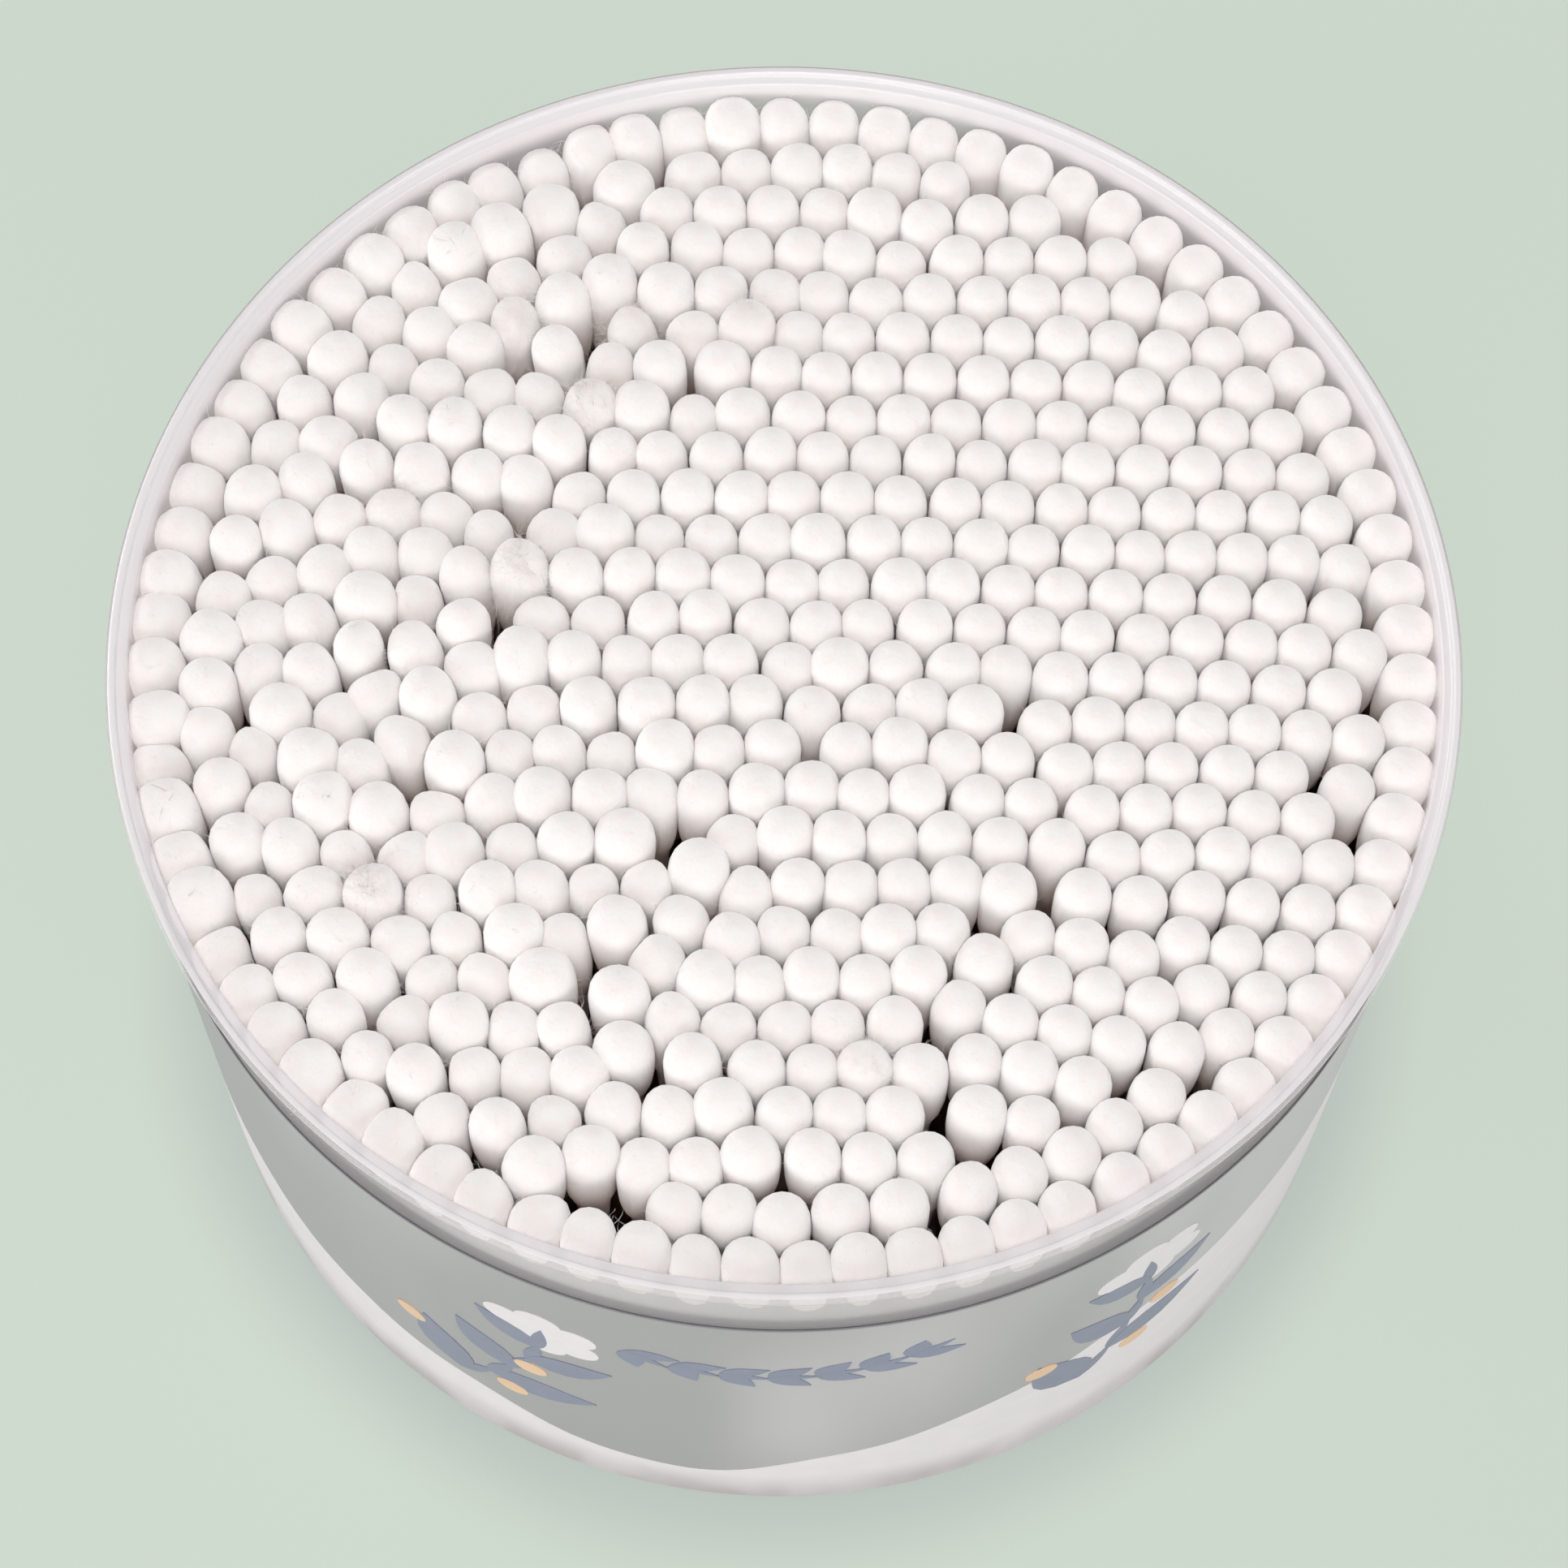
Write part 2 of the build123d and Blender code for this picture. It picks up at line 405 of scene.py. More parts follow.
@dataclass(frozen=True)
class InkFinish:
    """One printed colour, with the slight mottle of ink on film."""

    name: str
    body: Colour
    shade: Colour
    mottle_per_metre: float = 300.0
    mottle_depth: float = 0.03

    def mottled(self, sheet: NodeSheet, place: bpy.types.NodeSocket) -> bpy.types.NodeSocket:
        """Give a sheet the ink's relief and gloss, and work out its colour.

        Args:
            sheet: The sheet.
            place: The socket of the surface's point.

        Returns:
            The colour's socket.
        """
        mottle = sheet.noise(place, self.mottle_per_metre, 3.0)
        sheet.relief(sheet.bump(mottle, 0.2, self.mottle_depth))
        sheet.print_gloss()
        return sheet.blend(mottle, self.body.linear(), self.shade.linear())

    def material(self) -> bpy.types.Material:
        """Make the material.

        Returns:
            The ink's material.
        """
        sheet = NodeSheet(self.name)
        sheet.colour(self.mottled(sheet, sheet.place()))
        return sheet.material


@dataclass(frozen=True)
class HillFinish:
    """Ink in hills, through whose foot the ends of the swabs show warm and blotched."""

    ink: InkFinish
    hem: Colour = Colour(180, 169, 171)
    hem_height: float = 10.0
    blotch_per_metre: float = 140.0
    blotch_upright: float = 0.5
    blotch_range: tuple[float, float] = (0.35, 0.6)
    blotch_share: float = 0.4

    def material(self, bottom: float) -> bpy.types.Material:
        """Make the material.

        Args:
            bottom: Height of the film's lower edge.

        Returns:
            The hills' material.
        """
        sheet = NodeSheet("hill_ink")
        place = sheet.place()
        base = self.ink.mottled(sheet, place)
        hem_top = (bottom + self.hem_height) * MILLIMETRE
        low = sheet.step(sheet.height(place), hem_top, bottom * MILLIMETRE)
        clouds = sheet.noise(place, self.blotch_per_metre, 1.0, self.blotch_upright)
        blotch = sheet.step(clouds, *self.blotch_range)
        uneven = sheet.math("MULTIPLY_ADD", blotch, self.blotch_share, 1 - self.blotch_share)
        share = sheet.math("MULTIPLY", low, uneven)
        sheet.colour(sheet.blend(share, base, self.hem.linear()))
        return sheet.material


@dataclass(frozen=True)
class FloorFinish:
    """Matt sage paper, part of whose colour shows evenly, with a soft shade round the foot."""

    body: Colour = Colour(208, 216, 207)
    even: Colour = Colour(208, 220, 208)
    shaded: Colour = Colour(192, 202, 194)
    shade_width: float = 11.0
    grain_per_metre: float = 900.0
    grain_depth: float = 0.05
    even_share: float = 0.82

    def material(self, foot_radius: float) -> bpy.types.Material:
        """Make the material.

        Args:
            foot_radius: Radius of the tub where it stands.

        Returns:
            The floor's material.
        """
        sheet = NodeSheet("sage_paper")
        place = sheet.place()
        grain = sheet.noise(place, self.grain_per_metre, 3.0)
        sheet.relief(sheet.bump(grain, 0.1, self.grain_depth))
        reach = sheet.add("ShaderNodeVectorMath", {0: place}, operation="LENGTH").outputs["Value"]
        shade_end = (foot_radius + self.shade_width) * MILLIMETRE
        shade = sheet.step(reach, shade_end, foot_radius * MILLIMETRE)
        paper = sheet.blend(shade, self.even.linear(), self.shaded.linear())
        sheet.set(Base_Color=self.body.linear(), Roughness=0.95, Specular_IOR_Level=0.1)
        path = sheet.add("ShaderNodeLightPath").outputs
        seen = sheet.math("MAXIMUM", path["Is Camera Ray"], path["Is Glossy Ray"])
        seen = sheet.math("MAXIMUM", seen, path["Is Transmission Ray"])
        share = sheet.math("MULTIPLY", seen, self.even_share)
        even = sheet.add("ShaderNodeEmission", {"Color": paper, "Strength": 1.0})
        inputs = {0: share, 1: sheet.shader.outputs[0], 2: even.outputs[0]}
        mix = sheet.add("ShaderNodeMixShader", inputs)
        sheet.links.new(mix.outputs[0], sheet.nodes["Material Output"].inputs["Surface"])
        return sheet.material


def grid_quads(rows: int, columns: int, wrap: bool = False) -> np.ndarray:
    """Faces of a grid of points that are numbered row by row.

    A face runs along its row first and then to the next row, so it faces the side on which the
    row's direction, crossed with the step to the next row, points.

    Args:
        rows: Rows in the grid.
        columns: Points in a row.
        wrap: Whether each row closes on itself.

    Returns:
        Four point numbers for each face.
    """
    across = np.arange(columns if wrap else columns - 1)
    i, j = np.meshgrid(np.arange(rows - 1), across, indexing="ij")
    k = (j + 1) % columns
    corners = [i * columns + j, i * columns + k, (i + 1) * columns + k, (i + 1) * columns + j]
    return np.stack(corners, axis=-1).reshape(-1, 4)


def stack_faces(rings: int, segments: int) -> list[list[int]]:
    """Faces of a stack of rings that is closed by a pole below its first and above its last.

    Args:
        rings: Rings in the stack.
        segments: Points in a ring.

    Returns:
        The faces. The lower pole is numbered after the rings, and the upper one after that.
    """
    j = np.arange(segments)
    k = (j + 1) % segments
    last = (rings - 1) * segments
    lower = np.column_stack([np.full(segments, rings * segments), k, j])
    upper = np.column_stack([last + j, last + k, np.full(segments, rings * segments + 1)])
    return grid_quads(rings, segments, wrap=True).tolist() + lower.tolist() + upper.tolist()


def slab_faces(rows: int, columns: int) -> list[list[int]]:
    """Faces of a closed plate whose rows run along its front and back again along its back.

    Args:
        rows: Rows in the plate.
        columns: Points along the front of a row, and as many along its back.

    Returns:
        The faces of the front, the back, the two sides and the two ends.
    """
    j = np.arange(columns - 1)
    low = np.column_stack([j, 2 * columns - 1 - j, 2 * columns - 2 - j, j + 1])
    high = low[:, ::-1] + (rows - 1) * 2 * columns
    around = grid_quads(rows, 2 * columns, wrap=True)
    return np.vstack([around, low, high]).tolist()


def slab_points(front: np.ndarray, back: np.ndarray) -> np.ndarray:
    """Points of a closed plate, each row's front and then its back, as slab_faces numbers them."""
    return np.concatenate([front, back[:, ::-1]], axis=1).reshape(-1, 3)


def many(faces: list[list[int]], copies: int, points_each: int) -> list[list[int]]:
    """The faces of one form, repeated for each of several forms of as many points."""
    starts = range(0, copies * points_each, points_each)
    return [[corner + start for corner in face] for start in starts for face in faces]


def make_piece(
    name: str,
    points: np.ndarray,
    faces: list[list[int]],
    materials: list[bpy.types.Material],
    face_materials: np.ndarray | None = None,
) -> bpy.types.Object:
    """Make a piece of the object from points in millimetres.

    Args:
        name: The piece's name.
        points: Its points.
        faces: Its faces, as point numbers.
        materials: Its materials.
        face_materials: Which of them each face has, where it isn't always the first.

    Returns:
        The piece, riding on the tub's body.
    """
    mesh = bpy.data.meshes.new(name)
    mesh.from_pydata((points * MILLIMETRE).tolist(), [], faces)
    for material in materials:
        mesh.materials.append(material)
    if face_materials is not None:
        mesh.polygons.foreach_set("material_index", face_materials.astype(np.int32))
    mesh.polygons.foreach_set("use_smooth", np.ones(len(mesh.polygons), dtype=bool))
    mesh.set_sharp_from_angle(angle=math.radians(SMOOTH_ANGLE))
    mesh.update()
    piece = bpy.data.objects.new(name, mesh)
    bpy.context.scene.collection.objects.link(piece)
    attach(piece, BODY)
    LOG.info("%s: %d faces", name, len(mesh.polygons))
    return piece


def set_depth(piece: bpy.types.Object, depth: np.ndarray) -> None:
    """Store how deep under its head's tip each point of a piece lies, in millimetres."""
    layer = piece.data.attributes.new(DEPTH, "FLOAT", "POINT")
    layer.data.foreach_set("value", depth.astype(np.float32))


def rounded_outline(corners: list[tuple[float, float, float]], steps: int) -> np.ndarray:
    """An outline whose corners are rounded by arcs.

    At each corner an arc of the given radius touches both sides. It starts at a distance of
    radius / tan(half the corner's angle) from the corner, and its points go evenly round its centre.

    Args:
        corners: Radius, height and rounding of each corner, in order.
        steps: Spans in each arc.

    Returns:
        Points of radius and height.
    """
    spots = np.array([corner[:2] for corner in corners])
    points = [spots[:1]]
    for before, here, after, (_, _, radius) in zip(spots, spots[1:], spots[2:], corners[1:]):
        if radius == 0:
            points.append(here[None])
            continue
        back = (before - here) / np.linalg.norm(before - here)
        ahead = (after - here) / np.linalg.norm(after - here)
        half = math.acos(float(back @ ahead)) / 2
        middle = (back + ahead) / np.linalg.norm(back + ahead)
        centre = here + middle * radius / math.sin(half)
        start = here + back * radius / math.tan(half) - centre
        end = here + ahead * radius / math.tan(half) - centre
        turn = math.pi - 2 * half
        share = np.linspace(0, 1, steps + 1)[:, None]
        arc = (np.sin((1 - share) * turn) * start + np.sin(share * turn) * end) / math.sin(turn)
        points.append(centre + arc)
    points.append(spots[-1:])
    return np.vstack(points)


@dataclass
class TubShell:
    """The clear tub, one turned form from the middle of its foot round the rim to its floor."""

    rim_radius: float = 62.5
    height: float = 79.5
    top_wall_radius: float = 61.5
    base_radius: float = 59.5
    wall: float = 0.9
    floor: float = 1.2
    foot_lift: float = 0.8
    foot_width: float = 2.6
    base_corner: float = 3.0
    rim_thickness: float = 1.3
    ledge_drop: float = 0.5
    bead_width: float = 0.9
    bead_edge: float = 0.175
    soft_edge: float = 0.25
    segments: int = 288
    arc_steps: int = 4

    def wall_radius(self, height: np.ndarray | float) -> np.ndarray | float:
        """The leaning wall's outer radius at a height.

        It grows in a straight line from the base's radius, above the rounded corner, to the radius
        under the rim.

        Args:
            height: Height over the foot.

        Returns:
            The radius.
        """
        rise = self.height - self.rim_thickness - self.base_corner
        lean = (self.top_wall_radius - self.base_radius) / rise
        return self.base_radius + lean * (height - self.base_corner)

    def outline(self) -> np.ndarray:
        """The tub's section, from the axis under the floor round to the axis on top of it.

        Returns:
            Points of radius and height.
        """
        flange = self.height - self.rim_thickness
        ledge = self.height - self.ledge_drop
        floor_top = self.foot_lift + self.floor
        foot_inner = self.base_radius - self.base_corner - self.foot_width
        bead = self.rim_radius - self.bead_width
        edge = self.soft_edge
        corners = [
            (0.0, self.foot_lift, 0.0),
            (foot_inner, self.foot_lift, edge),
            (foot_inner + self.foot_lift, 0.0, edge),
            (self.wall_radius(0.0), 0.0, self.base_corner),
            (self.wall_radius(flange), flange, edge),
            (self.rim_radius, flange, edge),
            (self.rim_radius, self.height, edge),
            (bead, self.height, edge),
            (bead, ledge, self.bead_edge),
            (self.wall_radius(ledge) - self.wall, ledge, edge),
            (self.wall_radius(floor_top) - self.wall, floor_top, self.base_corner - self.wall),
            (0.0, floor_top, 0.0),
        ]
        return rounded_outline(corners, self.arc_steps)

    def build(self, finish: PlasticFinish) -> bpy.types.Object:
        """Turn the section round the axis. A point is at (radius cos turn, radius sin turn, height).

        Args:
            finish: The plastic.

        Returns:
            The tub.
        """
        outline = self.outline()
        ring = outline[1:-1]
        turns = np.arange(self.segments) * 2 * math.pi / self.segments
        rings = np.stack(
            [
                ring[:, :1] * np.cos(turns),
                ring[:, :1] * np.sin(turns),
                np.repeat(ring[:, 1:], self.segments, axis=1),
            ],
            axis=-1,
        )
        poles = np.array([[0, 0, outline[0, 1]], [0, 0, outline[-1, 1]]])
        points = np.vstack([rings.reshape(-1, 3), poles])
        faces = stack_faces(len(ring), self.segments)
        inner = np.zeros(len(faces))
        inner[int(ring[:, 1].argmax()) * self.segments : (len(ring) - 1) * self.segments] = 1
        inner[-self.segments :] = 1
        skins = finish.skins(self.height - self.rim_thickness, self.height)
        piece = make_piece("tub_shell", points, faces, skins, inner)
        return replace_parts(piece, "tub")


@dataclass
class Hill:
    """One rolling hill of the print: the film under a tilted plane.

    The plane lies at the level on the tub's axis and rises to the peak's turn, both as shares of
    the film's height.
    """

    peak_turn: float
    level: float
    rise: float


@dataclass
class LabelFilm:
    """The printed film round the wall, and the fields and motifs that are printed on it."""

    tub: TubShell
    below_rim: float = 12.5
    above_foot: float = 3.6
    glue_line: float = 0.06
    thickness: float = 0.12
    seam_gap: float = 0.6
    hill_ink: float = 0.02
    hill_blend: float = 5.0
    # The waves on the hills' skyline: their number in a turn, their height and where they start.
    hill_waves: tuple[tuple[int, float, float], ...] = ((11, 0.6, 0.8), (23, 0.36, 0.0))
    spans: int = 288
    film_rows: int = 12
    hill_rows: int = 4
    hills: tuple[Hill, ...] = (
        Hill(64.0, -0.15, 0.72),
        Hill(-82.0, 0.02, 0.34),
        Hill(178.0, -0.08, 0.52),
    )

    def top(self) -> float:
        """Height of the film's upper edge."""
        return self.tub.height - self.below_rim

    def printed_hill(self) -> float:
        """How far the hills' ink stands over the glue line, just proud of the film's face."""
        return self.thickness + self.hill_ink

    def seam_half_turn(self) -> float:
        """Half of the open turn at the seam, in radians."""
        return self.seam_gap / self.tub.base_radius / 2

    def on_wall(self, turn: np.ndarray, height: np.ndarray, proud: float) -> np.ndarray:
        """Points that stand proud of the leaning wall, at turns from the front to the right."""
        # A point is at (radius sin turn, -radius cos turn, height).
        radius = self.tub.wall_radius(height) + proud
        return np.stack([radius * np.sin(turn), -radius * np.cos(turn), height], axis=-1)

    def sleeve(
        self, low: np.ndarray, high: np.ndarray, rows: int, thickness: float
    ) -> tuple[np.ndarray, list[list[int]]]:
        """A thin closed sleeve on the glue line between two edges, open at the seam.

        Rows of points go from the lower edge to the upper one in equal steps at every turn.

        Args:
            low: Height of the lower edge at each of the sleeve's turns.
            high: Height of the upper edge there.
            rows: Rows of points.
            thickness: Its thickness.

        Returns:
            Its points and faces.
        """
        turn, share = np.meshgrid(self.turns(), np.linspace(0, 1, rows))
        height = low + (high - low) * share
        front = self.on_wall(turn, height, self.glue_line + thickness)
        back = self.on_wall(turn, height, self.glue_line)
        return slab_points(front, back), slab_faces(rows, self.spans + 1)

    def turns(self) -> np.ndarray:
        """The turns of the sleeve's points in radians, from one side of the seam round."""
        end = math.pi - self.seam_half_turn()
        return np.linspace(-end, end, self.spans + 1)

    def hill_edge(self) -> np.ndarray:
        """The height of the hills' skyline, where the highest of their planes meets the wall.

        A plane's height there is its level plus its slope times the wall's radius times the cosine
        of the turn from the peak. The radius grows with the height, so the sum is solved for it.
        The highest is taken softly, as the logarithm of the sum of their powers, and small waves
        are laid on it.

        Returns:
            A height for each of the sleeve's turns.
        """
        tall = self.top() - self.above_foot
        foot = self.tub.wall_radius(0.0)
        flare = self.tub.wall_radius(1.0) - foot
        edges = []
        for hill in self.hills:
            towards = np.cos(self.turns() - math.radians(hill.peak_turn))
            slope = hill.rise * tall / self.tub.base_radius * towards
            level = self.above_foot + hill.level * tall
            edges.append((level + slope * foot) / (1 - slope * flare))
        edge = self.hill_blend * np.log(np.exp(np.array(edges) / self.hill_blend).sum(axis=0))
        for count, size, start in self.hill_waves:
            edge += size * np.sin(self.turns() * count + start)
        return edge

    def build(self, film: FilmFinish, hill: HillFinish) -> None:
        """Make the film and the hills printed on it.

        Args:
            film: The film's finish.
            hill: The ink of the hills.
        """
        low = np.full(self.spans + 1, self.above_foot)
        high = np.full(self.spans + 1, self.top())
        points, faces = self.sleeve(low, high, self.film_rows, self.thickness)
        material = film.material(self.top())
        piece = make_piece("printed_film", points, faces, [material])
        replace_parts(piece, "label_film")
        points, faces = self.sleeve(low, self.hill_edge(), self.hill_rows, self.printed_hill())
        material = hill.material(self.above_foot)
        piece = make_piece("printed_hills", points, faces, [material])
        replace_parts(piece, "label_hills")


class Motif(Enum):
    """The shapes that the print is drawn with."""

    LEAF = "leaf"
    DOT = "dot"


@dataclass
class Mark:
    """One printed shape: where it is on the label, its size and the way it points."""

    motif: Motif
    along: float
    height: float
    length: float
    width: float
    tilt: float


@dataclass
class PrintedMarks:
    """Sprigs of leaves, with bolls and dots, printed round the label."""

    label: LabelFilm
    grid: int = 7
    ink: float = 0.02
    layers: int = 6
    sprig_count: int = 6
    sprig_height: float = 24.0
    sprig_shift: float = 2.0
    sprig_lift: float = 3.0
    most_lean: float = 35.0
    leaves_each: int = 5
    leaf_step: float = 6.2
    leaf_length: float = 13.0
    leaf_width: float = 6.0
    leaf_spread: float = 48.0
    leaf_shrink: float = 0.08
    leaf_fullness: float = 0.8
    leaf_blunt: float = 0.02
    stalk_length: float = 7.44
    stalk_width: float = 1.6
    stalk_bend: float = 7.0
    boll: float = 7.5
    puffs: int = 6
    puff_share: float = 0.62
    dot: float = 3.4
    # Where the dots lie from a sprig's foot, along the label and up.
    dot_places: tuple[tuple[float, float], ...] = ((6.0, 3.0), (8.5, 14.0), (-5.0, 10.0))
    garland_leaves: int = 7
    garland_half: float = 13.0
    garland_height: float = 51.0
    garland_bow: float = 3.0
    garland_turn: float = 40.0
    garland_spread: float = 38.0
    garland_stalk: float = 0.24
    small_leaf: float = 5.0
    seed: int = 21

    def shape(self, motif: Motif) -> np.ndarray:
        """A shape of unit length, filled by a square grid of points.

        A dot is the square's grid pressed onto a disc, each coordinate times
        sqrt(1 - half the other's square). A leaf runs from its stalk to its tip, and its half
        width is half the sine of the half turn along it, with a fuller lower half.

        Args:
            motif: Which shape.

        Returns:
            A grid of points, across and along.
        """
        steps = np.linspace(-1, 1, self.grid)
        along, across = np.meshgrid(steps, steps, indexing="ij")
        if motif is Motif.DOT:
            wide = across * np.sqrt(1 - along**2 / 2)
            tall = along * np.sqrt(1 - across**2 / 2)
            return np.stack([wide, tall], axis=-1) / 2
        share = (along + 1) / 2
        half = np.sin(math.pi * share**self.leaf_fullness) / 2 + self.leaf_blunt
        return np.stack([across * half, share], axis=-1)

    def marks_mesh(self, marks: list[Mark], layer: int) -> tuple[np.ndarray, list[list[int]]]:
        """Lay marks on the label.

        Each mark's points are scaled by its width and length, turned by its tilt, and moved to its
        place, where a length along the label is a turn times the wall's radius.

        Args:
            marks: The marks.
            layer: How many layers of ink lie under them.

        Returns:
            Their points and faces.
        """
        label = self.label
        radius = label.tub.base_radius
        proud = label.glue_line + label.printed_hill()
        points = []
        for order, mark in enumerate(marks):
            flat = self.shape(mark.motif) * (mark.width, mark.length)
            over = self.ink * (1 + layer + order % self.layers / self.layers)
            c, s = math.cos(math.radians(mark.tilt)), math.sin(math.radians(mark.tilt))
            along = mark.along + flat[..., 0] * c + flat[..., 1] * s
            height = mark.height - flat[..., 0] * s + flat[..., 1] * c
            front = label.on_wall(along / radius, height, proud + over)
            back = label.on_wall(along / radius, height, label.glue_line)
            points.append(slab_points(front, back))
        each = 2 * self.grid**2
        return np.vstack(points), many(slab_faces(self.grid, self.grid), len(marks), each)

    def sprig(
        self, along: float, height: float, lean: float
    ) -> tuple[list[Mark], list[Mark], list[Mark]]:
        """One sprig: leaves on each side of a bowed stalk in turn, a boll on it and dots beside it.

        Args:
            along: Where its foot is along the label.
            height: How high its foot is.
            lean: The way it leans, from the upright.

        Returns:
            The leaves, the bolls and the dots.
        """
        leaves, bolls, dots = [], [], []
        x, y, tilt = along, height, lean
        for index in range(self.leaves_each):
            turned = tilt + (self.leaf_spread if index % 2 else -self.leaf_spread)
            size = 1 - self.leaf_shrink * index
            length = self.leaf_length * size
            leaves.append(Mark(Motif.LEAF, x, y, length, self.leaf_width * size, turned))
            leaves.append(Mark(Motif.LEAF, x, y, self.stalk_length, self.stalk_width, tilt))
            x += self.leaf_step * math.sin(math.radians(tilt))
            y += self.leaf_step * math.cos(math.radians(tilt))
            tilt -= self.stalk_bend
        bolls.append(Mark(Motif.DOT, x, y, self.boll, self.boll, 0))
        puff = self.boll * self.puff_share
        for turn in range(0, 360, 360 // self.puffs):
            spread = math.radians(tilt + turn)
            across = x + self.boll / 2 * math.sin(spread)
            up = y + self.boll / 2 * math.cos(spread)
            bolls.append(Mark(Motif.DOT, across, up, puff, puff, 0))
        for across, up in self.dot_places:
            dots.append(Mark(Motif.DOT, along + across, height + up, self.dot, self.dot, 0))
        return leaves, bolls, dots

    def garland(self) -> list[Mark]:
        """A garland of small leaves across the front, which bows down in its middle.

        Returns:
            The leaves.
        """
        leaves = []
        for share in np.linspace(-1, 1, self.garland_leaves):
            along = share * self.garland_half
            height = self.garland_height + self.garland_bow * share**2
            lean = 90 - self.garland_turn * share
            size = self.small_leaf
            for spread in (-self.garland_spread, self.garland_spread):
                leaves.append(Mark(Motif.LEAF, along, height, size, size / 2, lean + spread))
            leaves.append(Mark(Motif.LEAF, along, height, size, size * self.garland_stalk, lean))
        return leaves

    def build(self, leaf: InkFinish, boll: InkFinish, dot: InkFinish) -> None:
        """Print the sprigs round the label, and the garland.

        Args:
            leaf: The leaves' ink.
            boll: The bolls' ink.
            dot: The dots' ink.
        """
        chance = np.random.default_rng(self.seed)
        round_label = 2 * math.pi * self.label.tub.base_radius
        spacing = round_label / self.sprig_count
        leaves, bolls, dots = self.garland(), [], []
        for index in range(self.sprig_count):
            along = (index + 0.5) * spacing - round_label / 2
            along += chance.uniform(-self.sprig_shift, self.sprig_shift)
            height = self.sprig_height + chance.uniform(-self.sprig_lift, self.sprig_lift)
            parts = self.sprig(along, height, chance.uniform(0, self.most_lean))
            for group, made in zip((leaves, bolls, dots), parts):
                group.extend(made)
        groups = (
            ("printed_bolls", bolls, boll),
            ("printed_leaves", leaves, leaf),
            ("printed_dots", dots, dot),
        )
        for layer, (name, marks, ink) in enumerate(groups):
            points, faces = self.marks_mesh(marks, layer)
            make_piece(name, points, faces, [ink.material()])


@dataclass
class SwabRow:
    """The swabs of one node: where their tips are and which way they point."""

    node: str
    tips: np.ndarray
    axes: np.ndarray


